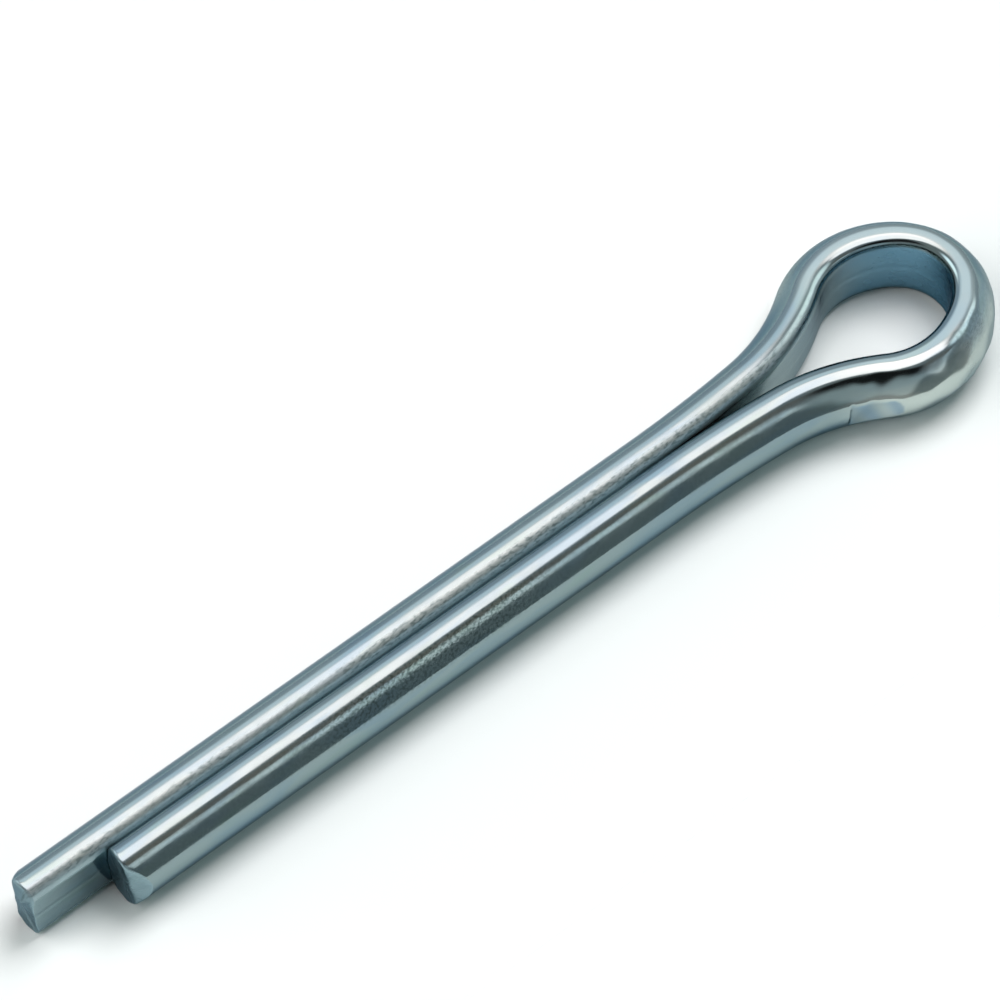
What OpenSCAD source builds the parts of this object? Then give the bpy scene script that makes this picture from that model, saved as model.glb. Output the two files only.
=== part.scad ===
// Cotter pin (split pin) bent from one length of half-round steel wire.
// The two legs lie flat face to flat face and make one nearly round shank.
// At the other end the wire opens into a drop-shaped eye.
// The pin lies on its side on z = 0, eye towards +X, with the split upright along y = 0.

/* [Wire] */
// Thickness of the half-round wire, from its flat face to the crown of its back
wire_t = 2.82; // [2.34:0.02:3.4]
// Radius of the wire's rounded back
back_r = 3.24; // [2.7:0.02:3.9]
// Radius of the corners between the flat face and the back
corner_r = 1.03; // [0.6:0.01:1.24]
// Gap between the flat faces of the closed legs
leg_gap = 0.06; // [0.02:0.01:0.3]

/* [Legs] */
// Straight length of the short leg, from its tip to where the legs begin to part
short_leg_l = 42.4; // [20:0.1:90]
// How much further the long leg reaches
long_leg_extra = 5.6; // [1:0.1:12]
// Radius of the slow first bend, where the legs begin to part
parting_r = 103; // [60:1:200]
// Angle turned by that slow bend
parting_a = 5; // [2:0.5:8]

/* [Eye] */
// Radius of the neck bend, measured at the flat face
neck_r = 15.5; // [12:0.1:20]
// Steepest angle of the wire to the shank, between neck and eye
flank_a = 33.6; // [28:0.2:40.4]
// Inside radius of the eye's shoulders
shoulder_r = 4.6; // [3.8:0.05:5.6]
// Half of the angle that the tighter bend at the eye's end takes
nose_a = 33; // [25:1:45]

/* [Cut ends] */
// Slant of the sheared end, lower edge set back
shear_a = 6.5; // [0:0.5:12]
// Distance from the flat face to the start of the bevel on the outside of each tip
bevel_start = 1.75; // [1.2:0.05:2.2]
// Slope of that bevel, measured from the sheared end
bevel_a = 50; // [30:1:60]

/* [Bending mark] */
// Depth of the flat that the bending tool left on the outside of the short leg's neck
mark_depth = 0.12; // [0.04:0.01:0.25]
// Angle of the neck bend at which that flat starts
mark_a = 22; // [8:1:27]

/* [Hidden] */
$fn = 96;

// Section: u runs outwards from the flat face, v across the wire.
back_u = wire_t - back_r;
corner_v = sqrt(pow(back_r - corner_r, 2) - pow(corner_r - back_u, 2));
half_h = corner_v + corner_r;
// Direction from the back's centre to a corner's centre, where the two arcs meet.
meet_a = atan2(corner_v, corner_r - back_u);
// Reach of a corner's waste, past the section all round.
reach = 2 * wire_t;

// Plan of the flat face on the +Y side: the legs begin to part at x = 0.
face_y = leg_gap / 2;
neck_x = (parting_r - neck_r) * sin(parting_a);
neck_y = face_y + parting_r - (parting_r - neck_r) * cos(parting_a);
shoulder_x = neck_x + (neck_r + shoulder_r) * sin(flank_a);
shoulder_y = neck_y - (neck_r + shoulder_r) * cos(flank_a);
// The nose bend meets both shoulders with its centre on the pin's axis.
nose_out = shoulder_y / sin(nose_a);
nose_r = shoulder_r + nose_out;
nose_x = shoulder_x - nose_out * cos(nose_a);
eye_end_x = nose_x + nose_r + wire_t;
long_leg_l = short_leg_l + long_leg_extra;
mid_x = (eye_end_x - long_leg_l) / 2;
far = 4 * wire_t;
// How far past the neck bend the bending mark is cut, enough for it to fade out.
mark_over_a = 12;
// Overhang of cutting shapes past what they cut.
pad = 1;
// Round step of a placing.
coarse = 0.01;

// Moves in two steps, a round one and its small rest, so that neighbouring bends meet exactly.
module put(x, y) {
    x0 = round(x / coarse) * coarse;
    y0 = round(y / coarse) * coarse;
    translate([x0, y0]) translate([x - x0, y - y0]) children();
}
// Half-round section with rounded corners, flat face on u = 0.
module wire_section() {
    difference() {
        intersection() {
            translate([back_u, 0]) circle(back_r);
            translate([0, -back_r]) square([wire_t + pad, 2 * back_r]);
        }
        for (side = [-1, 1]) put(corner_r, side * corner_v) difference() {
            polygon([
                [0, 0], [reach * cos(meet_a), side * reach * sin(meet_a)],
                [-reach, side * reach], [-reach, 0]
            ]);
            circle(corner_r);
        }
    }
}
// Straight wire from the origin along +X, flat face on y = 0, back towards +Y.
module straight_wire(l) { rotate([90, 0, 90]) linear_extrude(l) wire_section(); }
// Bend with the flat face inside at radius r, from angle a0 to a1.
module inward_bend(r, a0, a1) { rotate_extrude(angle = a1 - a0, start = a0) put(r, 0) wire_section(); }
// Bend with the flat face outside at radius r.
module outward_bend(r, a0, a1) {
    rotate_extrude(angle = a1 - a0, start = a0) put(r, 0) mirror([1, 0]) wire_section();
}

// One side of the pin on +Y: leg, both neck bends, shoulder and half of the nose.
module pin_side(leg_l) {
    put(-leg_l, face_y) straight_wire(leg_l);
    put(0, face_y + parting_r) outward_bend(parting_r, -90, parting_a - 90);
    put(neck_x, neck_y) outward_bend(neck_r, parting_a - 90, flank_a - 90);
    put(shoulder_x, shoulder_y) inward_bend(shoulder_r, nose_a, 90 + flank_a);
    put(nose_x, 0) inward_bend(nose_r, 0, nose_a);
}
// Waste beyond the tip of a +Y leg that ends at x = -l: the sheared end and the outer bevel.
module tip_waste(l) {
    translate([-l, 0, half_h]) rotate([0, -shear_a, 0]) translate([-far, 0, -2 * far])
        cube([far, far, 4 * far]);
    translate([-l, face_y + bevel_start, half_h]) rotate([0, -shear_a, 0]) rotate(-bevel_a)
        translate([-far, 0, -2 * far]) cube([far, 2 * far, 4 * far]);
}
// Waste under the bending mark on a +Y neck: it starts in a small step and fades out on the shoulder.
module mark_waste() {
    put(neck_x, neck_y) rotate_extrude(angle = flank_a + mark_over_a - mark_a, start = mark_a - 90)
        translate([neck_r - wire_t + mark_depth - pad, -half_h]) square([pad, 2 * half_h]);
}
module cotter_pin() {
    color("lightsteelblue") translate([-mid_x, 0, half_h]) difference() {
        union() {
            pin_side(long_leg_l);
            mirror([0, 1, 0]) pin_side(short_leg_l);
        }
        tip_waste(long_leg_l);
        mirror([0, 1, 0]) tip_waste(short_leg_l);
        mirror([0, 1, 0]) mark_waste();
    }
}

cotter_pin();
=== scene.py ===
from math import radians

import bpy
import numpy as np
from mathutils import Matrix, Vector


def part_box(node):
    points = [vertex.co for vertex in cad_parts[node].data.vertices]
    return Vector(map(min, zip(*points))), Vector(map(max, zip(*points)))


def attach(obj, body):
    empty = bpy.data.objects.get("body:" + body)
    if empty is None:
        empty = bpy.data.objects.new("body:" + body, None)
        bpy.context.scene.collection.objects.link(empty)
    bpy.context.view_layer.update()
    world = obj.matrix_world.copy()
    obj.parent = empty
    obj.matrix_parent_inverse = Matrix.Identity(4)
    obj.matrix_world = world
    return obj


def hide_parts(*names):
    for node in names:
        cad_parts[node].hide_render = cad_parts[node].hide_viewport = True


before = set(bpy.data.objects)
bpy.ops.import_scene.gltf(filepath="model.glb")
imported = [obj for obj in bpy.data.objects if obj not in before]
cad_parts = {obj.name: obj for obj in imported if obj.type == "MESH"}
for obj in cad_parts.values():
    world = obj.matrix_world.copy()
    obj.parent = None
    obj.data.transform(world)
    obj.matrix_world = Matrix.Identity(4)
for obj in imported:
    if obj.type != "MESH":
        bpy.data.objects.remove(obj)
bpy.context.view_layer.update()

# --- The pin's wire ---------------------------------------------------------------------------
# Soft steel wire, drawn to a half-round with rounded corners, and bent once round a former into
# the eye. Its two flat faces are then pressed together as the legs. Sizes here are in
# millimetres: u runs from the flat face to the crown of the back, and v across the wire.

pin_low, pin_high = (np.array(corner) * 1000 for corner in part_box("cotter_pin"))
mid_height = (pin_low[2] + pin_high[2]) / 2
half_width = (pin_high[2] - pin_low[2]) / 2

wire_thick = 2.88        # flat face to crown
leg_gap = 0.06           # between the flat faces of the closed legs
short_leg, long_leg = 42.4, 48.0
tip_zone = 2.6           # length of leg that its cut end takes part in
parting_x = pin_low[0] + long_leg

# The bends from a leg to the nose of the eye: radius at the flat face, and where the bend ends.
parting_radius, parting_angle = 103.0, radians(5)
neck_radius, neck_angle = 15.5, radians(33.6)
shoulder_radius = 4.6
nose_angle = radians(33)
neck_x = (parting_radius - neck_radius) * np.sin(parting_angle)
neck_y = leg_gap / 2 + parting_radius - (parting_radius - neck_radius) * np.cos(parting_angle)


def bend(cx, cy, radius, start, end, count, flat_outside):
    """Stations round one bend: place of the flat face, direction of the wire's back."""
    turn = np.linspace(start, end, count)
    x, y = cx + radius * np.cos(turn), cy + radius * np.sin(turn)
    back = -1 if flat_outside else 1
    return np.stack([x, y, back * np.cos(turn), back * np.sin(turn)], -1)


def wire_side(leg, station_gap=0.25):
    """Stations from a leg's tip zone to the nose of the eye, for the leg on +Y."""
    quarter = np.pi / 2
    to_eye = neck_radius + shoulder_radius
    eye_x, eye_y = neck_x + to_eye * np.sin(neck_angle), neck_y - to_eye * np.cos(neck_angle)
    nose_out = eye_y / np.sin(nose_angle)
    nose_x = eye_x - nose_out * np.cos(nose_angle)
    straight = np.linspace(-leg + tip_zone, 0, round((leg - tip_zone) / station_gap) + 1)
    zero = np.zeros_like(straight)
    parts = [
        np.stack([straight, zero + leg_gap / 2, zero, zero + 1], -1),
        bend(0, leg_gap / 2 + parting_radius, parting_radius,
             -quarter, parting_angle - quarter, count=37, flat_outside=True),
        bend(neck_x, neck_y, neck_radius,
             parting_angle - quarter, neck_angle - quarter, count=70, flat_outside=True),
        bend(eye_x, eye_y, shoulder_radius,
             quarter + neck_angle, nose_angle, count=72, flat_outside=False),
        bend(nose_x, 0, shoulder_radius + nose_out,
             nose_angle, 0, count=24, flat_outside=False),
    ]
    return np.concatenate([parts[0]] + [part[1:] for part in parts[1:]])


# The section is a chain of arcs from the crown of the back to the flat face: the radius of each,
# and the direction in degrees that it ends at.
back_arcs = [(2.6, 30), (6.4, 41.7), (1.0, 180)]


def half_section(count, half_girth=6.7):
    """Points of the upper half of the section with their outward directions, crown first."""
    u, v, angle, points = wire_thick, 0.0, 0.0, []
    for radius, end in back_arcs:
        end = radians(end)
        steps = max(2, round(count * (end - angle) * radius / half_girth))
        for turn in np.linspace(angle, end, steps, endpoint=False):
            points.append((u - radius * (np.cos(angle) - np.cos(turn)),
                           v + radius * (np.sin(turn) - np.sin(angle)),
                           np.cos(turn), np.sin(turn)))
        u -= radius * (np.cos(angle) - np.cos(end))
        v += radius * (np.sin(end) - np.sin(angle))
        angle = end
    steps = round(count * v / half_girth)
    points += [(0.0, v * share, -1.0, 0.0) for share in np.linspace(1, 0, steps, endpoint=False)]
    points = np.array(points)
    points[:, 0] -= u
    return points


upper = half_section(count=44)
lower = upper[1:] * [1, -1, 1, -1]
section = np.concatenate([upper, [[0, 0, -1, 0]], lower[::-1]])
section_scale = half_width / section[:, 1].max()
section[:, 1] *= section_scale
# The seam of the surface coordinates goes to the underside, where the pin lies on its side.
section = np.roll(section, -int(np.argmin(section[:, 1])), axis=0)
section_u, section_v, to_back, to_side = section.T
per_ring = len(section)
edges = np.diff(section[:, :2], axis=0, append=section[:1, :2])
girth = np.concatenate([[0], np.cumsum(np.hypot(*edges.T))])

# --- Cut ends ---------------------------------------------------------------------------------
# The wire is cropped in a press: each end is sheared at a slant, with its lower edge set back,
# the outer side is bevelled by the crop, and the blade rolls the upper edge over.

shear_slope = 0.114
bevel_slope, bevel_blend = 1.22, 0.05
bevel_start = {"short": (1.80, 0.5), "long": (1.70, 0.3)}    # u at the upper edge, more at lower
roll_depth, roll_width = 0.34, 0.42
unevenness = 0.018
least_rounding, more_rounding = 0.07, 0.17                   # of the cut's edge, more at the top
cut_middle = np.array([1.32, 0.0])
cut_shares = np.append(np.linspace(0.06, 0.9, 15), 0.96)     # rings from the middle to the edge
edge_turns = np.radians([90, 66, 44, 22, 0])                 # rings over the rounded edge
cut_rings = len(cut_shares) + len(edge_turns) - 1
tip_rings = 11                                               # rings from there to the bent wire


def cut_depth(place, leg):
    """How far behind the tip's foremost point the cut lies, at a place of the section."""
    u, v = place.T
    high = (v + half_width) / (2 * half_width)
    start = bevel_start[leg][0] + bevel_start[leg][1] * (1 - high)
    beyond = np.clip((u - start) * bevel_slope / bevel_blend, -60, 60)
    bevel = bevel_blend * np.log1p(np.exp(beyond))
    rolled = roll_depth * np.exp(-np.clip(u, 0, None) / roll_width)
    rolled = rolled * np.clip(high * 2 - 1, 0, 1) ** 2
    uneven = unevenness * np.sin(5.1 * u + 1.3) * np.cos(3.7 * v + 0.6)
    return shear_slope * (half_width - v) + bevel + rolled + uneven


def leg_end(leg, length, side):
    """Rings of one leg's end, from the cut's middle out to the leg's first station."""
    whole, outward = section[:, :2], section[:, 2:]
    rounding = least_rounding + more_rounding * np.clip(section_v / half_width, 0, 1) ** 2
    inner = whole - rounding[:, None] * outward
    rings = []
    for share in cut_shares:
        place = cut_middle + share * (inner - cut_middle)
        rings.append((place, cut_depth(place, leg)))
    for turn in edge_turns:
        place = whole - (rounding * (1 - np.cos(turn)))[:, None] * outward
        rings.append((place, cut_depth(place, leg) + rounding * (1 - np.sin(turn))))
    edge_depth = rings[-1][1]
    for share in np.linspace(0, 1, tip_rings + 2)[1:-1]:
        rings.append((whole, edge_depth + share * (tip_zone - edge_depth)))
    return [np.stack([depth - length, side * (leg_gap / 2 + place[:, 0]), place[:, 1]], -1)
            for place, depth in rings]


# --- Marks of the bending ---------------------------------------------------------------------
# Bending thins the wire round the nose of the eye, sharpens the squeezed corners inside it and
# crinkles the short leg's side. Closing the legs has raised a faint lip along their groove.

long_side = wire_side(long_leg)
short_side = wire_side(short_leg) * [1, -1, 1, -1]
stations = np.concatenate([long_side, short_side[::-1][1:]])
run = np.concatenate([[0], np.cumsum(np.hypot(*np.diff(stations[:, :2], axis=0).T))])
nose_run = run[len(long_side) - 1]

corner_depth = back_arcs[-1][0] * section_scale
on_face = to_back < -0.9999
in_corner = (to_back < 0) & ~on_face
thinned, thinned_reach = 0.20, 3.4
sharpened, sharpened_reach = 0.3, 8
lip_height, lip_v, lip_width = 0.05, 1.84, 0.085
wrinkle_height, wrinkle_middle, wrinkle_reach = 0.016, 3.5, 5.5


def worked_ring(station, at):
    """The wire's section at one station, with what the bending has done to it there."""
    x, y, back_x, back_y = station
    u, v = section_u.copy(), section_v.copy()
    past_nose = at - nose_run
    # The rounded corners shrink, and the flat face grows out to meet them.
    kept = 1 - sharpened * np.exp(-(past_nose / sharpened_reach) ** 4)
    u[in_corner] *= kept
    v[in_corner] = np.sign(v[in_corner]) * (half_width - kept * (half_width - np.abs(v[in_corner])))
    v[on_face] *= (half_width - kept * corner_depth) / (half_width - corner_depth)
    thinning = thinned * np.exp(-(past_nose / thinned_reach) ** 4)
    u = thinning + u * (wire_thick - thinning) / wire_thick
    # The lip stands only where the two legs touch.
    touching = np.clip((-x - 0.5) / 1.5, 0, 1) * np.clip((x + short_leg - 0.6) / 0.8, 0, 1)
    lip = lip_height * np.exp(-((v - lip_v) / lip_width) ** 2) * (to_back < -0.7)
    u = u - touching * lip
    wrinkled = np.exp(-((past_nose - wrinkle_middle) / wrinkle_reach) ** 2)
    wrinkled = wrinkled * wrinkle_height * np.clip(to_back * 2.5, 0, 1)
    u = u - wrinkled * (np.sin(4.3 * at + 2.6 * v) + np.sin(2.3 * at - 4.1 * v + 1))
    return np.stack([x + back_x * u, y + back_y * u, v], -1)


long_end, short_end = leg_end("long", long_leg, 1), leg_end("short", short_leg, -1)
bent_rings = [worked_ring(station, at) for station, at in zip(stations, run)]
skin = np.array(long_end + bent_rings + short_end[::-1])

# --- Pressed flat on the neck -----------------------------------------------------------------
# A round bending tool stood outside the short leg's neck. It has pressed a shallow, uneven flat
# into the wire, with a small step at the end towards the tip, and it fades out towards the eye.

flat_start, flat_length = 22, 24     # degrees round the tool
flat_depth, flat_lean = 0.32, 0.17   # at the lower edge, and how much less at the upper one
out_x, out_y, height = skin[..., 0] - neck_x, skin[..., 1] + neck_y, skin[..., 2]
from_tool = np.hypot(out_x, out_y)
turned = np.degrees(np.arctan2(out_x, out_y))
on_neck = (skin[..., 1] < 0) & (from_tool < 20) & (turned < flat_start + flat_length)
lean = (height + half_width) / (2 * half_width)
step = np.clip((turned - flat_start + 0.5 - 1.6 * lean) / 0.5, 0, 1)
step = step * step * (3 - 2 * step)
uneven = (0.03 * np.sin(0.9 * turned + 0.9 * height)
          + 0.02 * np.sin(0.47 * turned - 1.7 * height))
fading = np.clip(1 - ((turned - flat_start) / flat_length) ** 2, 0, 1)
tool = neck_radius - wire_thick + (flat_depth - flat_lean * lean + uneven) * fading * step
pressed = on_neck & (from_tool < tool) & (step > 0)
mottled = 0.62 + 0.38 * np.sin(0.75 * turned + 1.5 * height - 0.4)
dent = np.clip((tool - from_tool) / 0.03, 0, 1) * pressed * mottled
push = np.where(pressed, tool / from_tool, 1)
skin[..., 0] = neck_x + out_x * push
skin[..., 1] = -neck_y + out_y * push

# --- The pin's mesh ---------------------------------------------------------------------------
# One closed skin round the whole wire, from one cut end to the other, with the surface
# coordinates laid along the wire: 100 mm of wire or of girth is one unit.

skin[..., 0] += parting_x
skin[..., 2] += mid_height
last_ring, skin_points = (len(skin) - 1) * per_ring, len(skin) * per_ring
points = [tuple(point) for point in skin.reshape(-1, 3) / 1000]
points += [tuple(skin[ring].mean(0) / 1000) for ring in (0, -1)]      # middles of the two cuts
faces = []
for ring in range(0, last_ring, per_ring):
    for j in range(per_ring):
        k = (j + 1) % per_ring
        faces.append((ring + j, ring + k, ring + per_ring + k, ring + per_ring + j))
for j in range(per_ring):
    k = (j + 1) % per_ring
    faces += [(skin_points, k, j), (skin_points + 1, last_ring + j, last_ring + k)]

pin_mesh = bpy.data.meshes.new("cotter_pin_wire")
pin_mesh.from_pydata(points, [], faces)
pin_mesh.validate()
along = np.linalg.norm(np.diff(skin.mean(1), axis=0), axis=1)
along = np.concatenate([[0], np.cumsum(along)])
layer = pin_mesh.uv_layers.new(name="along_wire")
for face in pin_mesh.polygons:
    face.use_smooth = True
    corners = [pin_mesh.loops[n].vertex_index for n in face.loop_indices]
    columns = [corner % per_ring for corner in corners if corner < skin_points]
    wraps = max(columns) - min(columns) > per_ring / 2
    for n, corner in zip(face.loop_indices, corners):
        ring, column = divmod(corner, per_ring)
        if corner >= skin_points:
            ring, column = skin_points - corner, columns[0]
        elif wraps and column == 0:
            column = per_ring
        layer.data[n].uv = (along[ring] / 100, girth[column] / 100)
pin = bpy.data.objects.new("cotter_pin_wire", pin_mesh)
bpy.context.scene.collection.objects.link(pin)

# --- Where the pin's surface differs ----------------------------------------------------------
# The rolls have left chatter and scuffs along the legs. The skin of the eye is stretched and dull,
# and a painted sheen makes it, the neck's flat faces and the long leg's inner corner paler.
# The flat face inside the nose is blue, and the groove between the legs is painted a little paler,
# as painted light in its shade.


def window(value, low, high, soft):
    """1 between two values, fading to 0 over a soft width at each end."""
    rise = np.clip((value - low) / soft + 0.5, 0, 1)
    fall = np.clip((high - value) / soft + 0.5, 0, 1)
    return rise * rise * (3 - 2 * rise) * fall * fall * (3 - 2 * fall)


def around(low, high, soft):
    """A window in degrees round the section: 0 on the crown, 90 on the side, 180 on the face."""
    return window(np.degrees(np.arctan2(np.abs(to_side), to_back)), low, high, soft)


def store(name, masks, on_cut_middles):
    """Keep four masks on the mesh: on the points of the skin, then on the two cuts' middles."""
    on_skin = np.stack([mask + np.zeros(skin.shape[:2]) for mask in masks], -1).reshape(-1, 4)
    kept = pin_mesh.color_attributes.new(name, "FLOAT_COLOR", "POINT")
    kept.data.foreach_set("color", np.concatenate([on_skin, [on_cut_middles] * 2]).ravel())


# Along the wire: rings and millimetres past the nose, positive towards the short leg.
rings_past = np.arange(len(skin))[:, None] - (len(long_end) + len(long_side) - 1)
at = np.concatenate([[run[0]] * len(long_end), run, [run[-1]] * len(short_end)])
past_nose = at[:, None] - nose_run
on_long = np.clip(0.5 - rings_past / 60, 0, 1)
in_eye = np.clip((150 - np.abs(rings_past)) / 60, 0, 1)
on_legs = 1 - in_eye
# Along a leg, from where the legs part: the short leg is scuffed most over its middle.
leg_x = skin[..., 0].mean(1)[:, None] - parting_x
rolled = 0.2 + 0.8 * window(leg_x, -27, -11, 7)
less_below = np.where(section_v > 0, 1.0, 0.6)
flat_face = around(171, 200, 8)

# Which surface it is: rolled, cut, blue or dented.
chatter = on_long * around(114, 158, 10) * less_below * (1 - 0.85 * in_eye)
cut = np.zeros((len(skin), 1))
cut[:cut_rings] = cut[-cut_rings:] = 1
blued = flat_face * np.exp(-(past_nose / 6.5) ** 4)
store("surface_zones", (chatter, cut, blued, dent), (0, 1, 0, 0))

# How it is finished, with painted light: dull, painted paler as a sheen, scuffed, or painted
# lighter deep in the groove.
eye_skin = window(np.abs(past_nose), -20, 11, 6)
bright_neck = window(past_nose, 6, 16, 4)
neck_face = flat_face * window(np.abs(past_nose), 6.5, 22, 4)
groove = around(140, 176, 12)
dull = (0.09 * around(50, 112, 16) * (1 - 0.9 * bright_neck)
        + 0.26 * around(118, 174, 12) * on_long * on_legs
        + 0.04 * groove
        + 0.1 * neck_face
        + 0.2 * around(-20, 40, 18) * eye_skin * (1 - bright_neck))
# The paler colour here is a painted sheen, standing in for light that the pin does not reflect.
painted_sheen = (eye_skin * (around(-20, 33, 16) + 0.3 * around(62, 104, 16))
        + 0.75 * neck_face
        + 0.25 * around(118, 146, 10) * on_long * on_legs)
shoulder = around(24, 54, 8) * less_below
scuffed = (0.4 * around(36, 66, 12) * window(past_nose, 3.5, 8.5, 3)
           + 0.25 * shoulder * on_long
           + shoulder * rolled * (1 - on_long)) * (1 - bright_neck) * less_below
store("finish_and_painted_light", (dull, painted_sheen, scuffed, groove * on_legs), (0.1, 0, 0, 0))

# --- Zinc plate -------------------------------------------------------------------------------
# Bright electroplated zinc with a clear blue passivate. It keeps the drawn wire's long die lines
# and the fine crosswise chatter of the rolls, and its blue shifts a little from place to place.

zinc = bpy.data.materials.new("zinc_plate")
zinc.use_nodes = True
shader = zinc.node_tree.nodes["Principled BSDF"]
shader.inputs["Metallic"].default_value = 1
shader.inputs["Specular Tint"].default_value = (0.36, 0.42, 0.48, 1)


def node(tree, kind, **settings):
    made = tree.nodes.new(kind)
    for name, value in settings.items():
        setattr(made, name, value)
    return made


def feed(socket, value):
    """Give a socket a number, a colour or the output of another node."""
    if isinstance(value, bpy.types.NodeSocket):
        socket.id_data.links.new(value, socket)
    else:
        socket.default_value = (*value, 1) if isinstance(value, tuple) else value


def calc(operation, a, b=0.0):
    """One sum of two values, of which at least one is the output of a node."""
    source = a if isinstance(a, bpy.types.NodeSocket) else b
    made = node(source.id_data, "ShaderNodeMath", operation=operation)
    feed(made.inputs[0], a)
    feed(made.inputs[1], b)
    return made.outputs[0]


def times(a, b):
    return calc("MULTIPLY", a, b)


def between(value, low, high, start=0.0, end=1.0):
    """A smooth rise from start to end, as the value goes from low to high."""
    made = node(value.id_data, "ShaderNodeMapRange", interpolation_type="SMOOTHSTEP")
    for name, number in (("Value", value), ("From Min", low), ("From Max", high),
                         ("To Min", start), ("To Max", end)):
        feed(made.inputs[name], number)
    return made.outputs[0]


def blend(mask, below, above):
    """The colour below where the mask is 0, and the colour above where it is 1."""
    made = node(mask.id_data, "ShaderNodeMix", data_type="RGBA")
    for number, value in ((0, mask), (6, below), (7, above)):
        feed(made.inputs[number], value)
    return made.outputs[2]


def grain(coordinates, scale, detail, distortion=0.0, offset=(0, 0, 0)):
    """Noise stretched by a scale for each axis, in features per unit of the coordinates."""
    place = node(zinc.node_tree, "ShaderNodeMapping")
    place.inputs["Scale"].default_value = scale
    place.inputs["Location"].default_value = offset
    feed(place.inputs["Vector"], coordinates)
    noise = node(zinc.node_tree, "ShaderNodeTexNoise")
    for name, value in (("Vector", place.outputs[0]), ("Scale", 1), ("Detail", detail),
                        ("Distortion", distortion)):
        feed(noise.inputs[name], value)
    return noise.outputs[0]


def masks_of(name):
    """The four masks that the mesh keeps under one name."""
    kept = node(zinc.node_tree, "ShaderNodeAttribute", attribute_name=name)
    split = node(zinc.node_tree, "ShaderNodeSeparateColor")
    feed(split.inputs[0], kept.outputs["Color"])
    return (*split.outputs, kept.outputs["Alpha"])


chatter_zone, cut_zone, blue_zone, dent_zone = masks_of("surface_zones")
dullness, painted_sheen_mask, scuffs, painted_groove_light = masks_of("finish_and_painted_light")
along_wire = node(zinc.node_tree, "ShaderNodeUVMap", uv_map="along_wire").outputs[0]
in_space = node(zinc.node_tree, "ShaderNodeTexCoord").outputs["Object"]

# The rolls have chattered in stretches, with cleaner wire between them.
stretches = between(grain(along_wire, (16, 30, 1), 2, 0, (4, 1, 0)), 0.36, 0.60, 0.45, 1)
chatter_zone = times(chatter_zone, stretches)

# Colour: grey-blue plate, with drifts of deeper blue and of pale green along the wire, and small
# dull specks where the plate is thin over the chatter and the scuffs. The paler eye and groove are
# painted light.
blue_grey, deep_blue, green = (0.250, 0.325, 0.333), (0.213, 0.299, 0.336), (0.235, 0.325, 0.308)
drift = grain(along_wire, (14, 60, 1), 3, 0.6)
green_drift = grain(along_wire, (22, 90, 1), 2, 0.4, (7, 3, 0))
colour = blend(between(drift, 0.42, 0.68), blue_grey, deep_blue)
colour = blend(between(green_drift, 0.52, 0.75, 0, 0.7), colour, green)
specks = between(grain(along_wire, (230, 560, 1), 3, 0, (2, 9, 0)), 0.44, 0.66)
dots = between(grain(along_wire, (430, 470, 1), 2, 0, (5, 2, 0)), 0.44, 0.64)
for zone, zone_colour in (
    # Painted sheen: a paler colour on the eye, the neck's flat faces and the long leg's inner
    # corner.
    (painted_sheen_mask, (0.48, 0.55, 0.52)),
    # Painted light: a paler colour lifts the shade deep in the groove between the legs.
    (painted_groove_light, (0.335, 0.435, 0.46)),
    (times(blue_zone, 0.85), (0.125, 0.28, 0.385)),
    (times(cut_zone, 0.8), (0.24, 0.345, 0.38)),
    (times(dent_zone, 0.75), (0.21, 0.315, 0.40)),
    (times(times(specks, chatter_zone), 0.7), (0.08, 0.13, 0.135)),
    (times(times(dots, scuffs), 0.7), (0.10, 0.15, 0.15)),
):
    colour = blend(zone, colour, zone_colour)
feed(shader.inputs["Base Color"], colour)

# Roughness: bright on the drawn back, dull where rolled or cut.
polish = 0.08
patchy = between(grain(along_wire, (60, 160, 1), 3), 0.35, 0.7, 0.0, 0.07)
rough = calc("ADD", patchy, polish)
for more in (times(chatter_zone, 0.06), dullness, times(cut_zone, 0.18), times(blue_zone, 0.16)):
    rough = calc("ADD", rough, more)
feed(shader.inputs["Roughness"], rough)

# Relief, with its depth in metres: a slow waviness, die lines along the wire, chatter of the
# rolls, scuffs and fine plating grain, and on the cut ends the streaks of the shear.
off_cut = calc("SUBTRACT", 1, cut_zone)
relief = None
for pattern, zone, depth in (
    (grain(along_wire, (26, 70, 1), 2, 0.2), off_cut, 5e-6),
    (grain(along_wire, (9, 1300, 1), 3), off_cut, 0.5e-6),
    (grain(along_wire, (480, 620, 1), 3), chatter_zone, 4e-6),
    (grain(along_wire, (520, 520, 1), 3), scuffs, 5e-6),
    (grain(along_wire, (900, 900, 1), 2), off_cut, 0.25e-6),
    (grain(in_space, (9000, 9000, 900), 3, 0.2), cut_zone, 3e-6),
):
    bump = node(zinc.node_tree, "ShaderNodeBump")
    bump.inputs["Strength"].default_value = 1
    bump.inputs["Distance"].default_value = depth
    feed(bump.inputs["Height"], times(pattern, zone))
    if relief:
        feed(bump.inputs["Normal"], relief)
    relief = bump.outputs[0]
feed(shader.inputs["Normal"], relief)
pin_mesh.materials.append(zinc)
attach(pin, "root")
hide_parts("cotter_pin")

# --- Floor ------------------------------------------------------------------------------------
# A plain white paper sheet that the pin lies on. It ends a little in front of the pin, and the
# dark room beyond its edge shows as the dark band in the short leg's flank.

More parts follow.
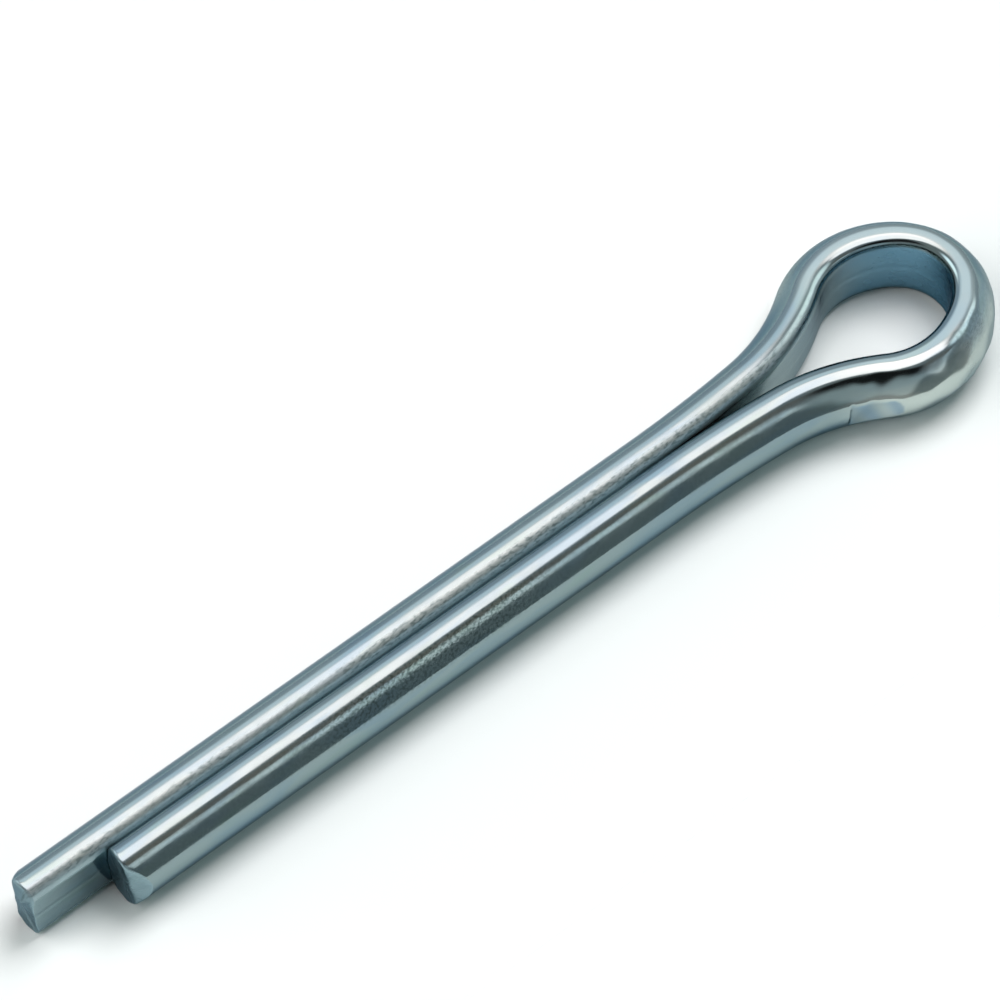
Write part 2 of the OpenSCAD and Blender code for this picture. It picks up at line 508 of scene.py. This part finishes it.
near_edge, far_edge, half_sheet = -0.0195, 0.6, 0.4
floor_mesh = bpy.data.meshes.new("floor")
floor_mesh.from_pydata([(-half_sheet, near_edge, 0), (half_sheet, near_edge, 0),
                        (half_sheet, far_edge, 0), (-half_sheet, far_edge, 0)], [], [(0, 1, 2, 3)])
floor = bpy.data.objects.new("floor", floor_mesh)
bpy.context.scene.collection.objects.link(floor)
paper = bpy.data.materials.new("white_sheet")
paper.use_nodes = True
paper_shader = paper.node_tree.nodes["Principled BSDF"]
paper_shader.inputs["Base Color"].default_value = (0.86, 0.875, 0.87, 1)
paper_shader.inputs["Roughness"].default_value = 0.9
paper_shader.inputs["Specular IOR Level"].default_value = 0.1
floor_mesh.materials.append(paper)

# --- What the pin reflects --------------------------------------------------------------------
# A light tent: a wide diffuser overhead, a softbox on each side, pale walls behind, and a dark
# room in front. Only reflections see it. The camera sees plain white behind the sheet.

studio = bpy.data.worlds.new("studio")
bpy.context.scene.world = studio
studio.use_nodes = True
studio.cycles_visibility.diffuse = False
studio.node_tree.nodes.clear()
looking = node(studio.node_tree, "ShaderNodeTexCoord").outputs["Generated"]


def toward(azimuth, height):
    """Unit direction at an azimuth from +X towards +Y and a height over the floor, in degrees."""
    a, h = radians(azimuth), radians(height)
    return Vector((np.cos(a) * np.cos(h), np.sin(a) * np.cos(h), np.sin(h)))


def dot(direction):
    """How far the look goes along a direction: the cosine of the angle between them."""
    made = node(studio.node_tree, "ShaderNodeVectorMath", operation="DOT_PRODUCT")
    feed(made.inputs[0], looking)
    feed(made.inputs[1], direction)
    return made.outputs["Value"]


def cap(azimuth, height, low, high):
    """Round soft patch about a direction: 0 at the low cosine from it, 1 at the high one."""
    return between(dot(toward(azimuth, height)), low, high)


def panel(azimuth, height, half_wide, half_high, edge):
    """Soft-edged oval panel in the sky: 1 on it, 0 off it. Sizes are in degrees."""
    middle = toward(azimuth, height)
    wide = middle.cross(Vector((0, 0, 1))).normalized()
    p = calc("DIVIDE", dot(wide), float(np.sin(radians(half_wide))))
    q = calc("DIVIDE", dot(wide.cross(middle)), float(np.sin(radians(half_high))))
    out = calc("SQRT", calc("ADD", times(p, p), times(q, q)))
    in_front = between(dot(middle), 0.0, 0.1)
    return times(between(out, 1 + edge, 1 - edge), in_front)


diffuser = (3.6, 2.92, 2.85)
sky = (0.40, 0.40, 0.40)                                          # cloth of the tent
for patch, light in (
    (cap(8, 8, 0.50, 0.80), (0.62, 0.66, 0.70)),                  # pale wall beyond the eye
    (cap(78, 15, 0.78, 0.95), (0.66, 0.71, 0.79)),                # pale wall behind the long leg
    (panel(60, 49, 32, 11, 0.6), (1.3, 1.36, 1.46)),              # softbox behind
    (panel(128, 32, 20, 13, 0.4), (2.8, 2.8, 2.8)),               # softbox on the left
    (panel(236, 31, 40, 14, 0.25), (0.02, 0.02, 0.02)),           # dark room in front
    (panel(261, 9, 20, 11, 0.3), (0.60, 0.65, 0.66)),             # pale table in the dark room
    (panel(334, 33, 16, 14, 0.4), (2.3, 2.3, 2.3)),               # softbox on the right
    (panel(285, -4, 24, 15, 0.25), (0.215, 0.25, 0.26)),          # table before the sheet's edge
    (panel(292, 24, 12, 10, 0.3), (0.33, 0.29, 0.26)),            # dim gap under the diffuser
    (panel(293, 13.5, 13, 2.6, 0.5), (1.5, 1.5, 1.5)),            # thin bright strip below the gap
    (panel(44, 54, 24, 10, 0.5), (1.55, 1.6, 1.7)),               # bright middle of the one behind
    (panel(300, 57.5, 14, 11, 0.25), diffuser),                   # front tongue of the diffuser
    (cap(250, 83, 0.822, 0.885), diffuser),                       # diffuser overhead
):
    sky = blend(patch, sky, light)

reflected = node(studio.node_tree, "ShaderNodeBackground")
feed(reflected.inputs["Color"], sky)
seen = node(studio.node_tree, "ShaderNodeBackground")
feed(seen.inputs["Color"], (1.0, 1.0, 1.0))
feed(seen.inputs["Strength"], 1.06)              # just over white, so that it stays clean
choose = node(studio.node_tree, "ShaderNodeMixShader")
by_camera = node(studio.node_tree, "ShaderNodeLightPath").outputs["Is Camera Ray"]
for socket, value in zip(choose.inputs, (by_camera, reflected.outputs[0], seen.outputs[0])):
    feed(socket, value)
feed(node(studio.node_tree, "ShaderNodeOutputWorld").inputs["Surface"], choose.outputs[0])
bpy.context.scene.view_settings.view_transform = "Standard"

# --- What lights the sheet --------------------------------------------------------------------
# A key softbox high beyond the eye, a wider one low behind the long leg, and a weak cool fill in
# front. They light the paper and the shadow on it, and the pin does not reflect them.


def lamp(name, azimuth, height, size, watts, colour):
    """A square softbox 1 m away that lights the sheet and is left out of the reflections."""
    data = bpy.data.lights.new(name, "AREA")
    data.shape, data.size, data.energy, data.color = "SQUARE", size, watts, colour
    light = bpy.data.objects.new(name, data)
    light.location = toward(azimuth, height)
    light.rotation_euler = toward(azimuth, height).to_track_quat("Z", "Y").to_euler()
    light.visible_glossy = False
    bpy.context.scene.collection.objects.link(light)


lamp("key_softbox", 12, 67, 0.65, 8.8, (0.98, 0.99, 1))
lamp("back_softbox", 155, 36, 1.2, 9.95, (1, 1, 0.98))
lamp("front_fill", 300, 32, 0.8, 2.05, (0.7, 1, 1))

# --- Camera -----------------------------------------------------------------------------------
# A long lens 0.6 m away, above the short leg's side, looking down at 56 degrees. It is aimed a
# little off the pin's middle, to leave room in the view for the shadow.

camera_data = bpy.data.cameras.new("camera")
camera_data.lens, camera_data.sensor_width = 360, 36
camera_data.clip_start, camera_data.clip_end = 0.01, 20
camera = bpy.data.objects.new("camera", camera_data)
bpy.context.scene.collection.objects.link(camera)
aim, distance = Vector((0.003375, 0.004983, 0.002698)), 0.60422
sight = toward(229.81, 56)
camera.location = aim + sight * distance
camera.rotation_euler = sight.to_track_quat("Z", "Y").to_euler()
bpy.context.scene.camera = camera
